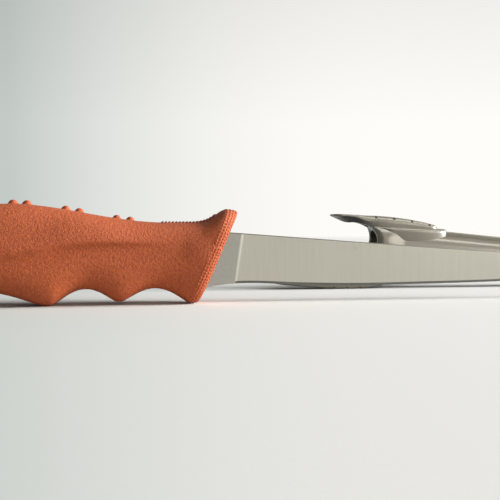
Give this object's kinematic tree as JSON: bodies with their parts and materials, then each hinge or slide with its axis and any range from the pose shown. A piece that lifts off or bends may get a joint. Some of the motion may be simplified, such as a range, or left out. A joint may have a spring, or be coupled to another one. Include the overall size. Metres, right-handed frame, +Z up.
{
  "type": "fillet knife",
  "caption": "Flexible fillet knife with a finger-grooved soft grip, and its moulded sheath with a belt clip, drawn off and standing behind it.",
  "frame": {"origin": "on the floor under the centre of the box round the knife and its sheath", "axes": "+X from the handle to the blade's tip, +Y from the knife to the sheath behind it, +Z up"},
  "size_m": [0.4011, 0.1054, 0.0409],
  "materials": {
    "blade_steel": "fine satin grind",
    "core_plastic": "moulded",
    "grip_rubber": "fine moulded stipple",
    "sheath_plastic": "satin moulded",
    "clip_plastic": "satin moulded",
    "insert_brass": "turned",
    "screw_steel": "plain"
  },
  "bodies": {
    "knife": {"blade": "blade_steel", "handle_core": "core_plastic", "handle_grip": "grip_rubber"},
    "sheath": {"sheath_near_shell": "sheath_plastic", "sheath_far_shell": "sheath_plastic", "belt_clip": "clip_plastic", "clip_inserts": "insert_brass", "clip_screws": "screw_steel"}
  },
  "joints": [
    {"name": "sheath_draw", "type": "slide", "parent": "knife", "child": "sheath", "axis": [1, 0, 0], "range_m": [-0.083, 0.146]}
  ]
}
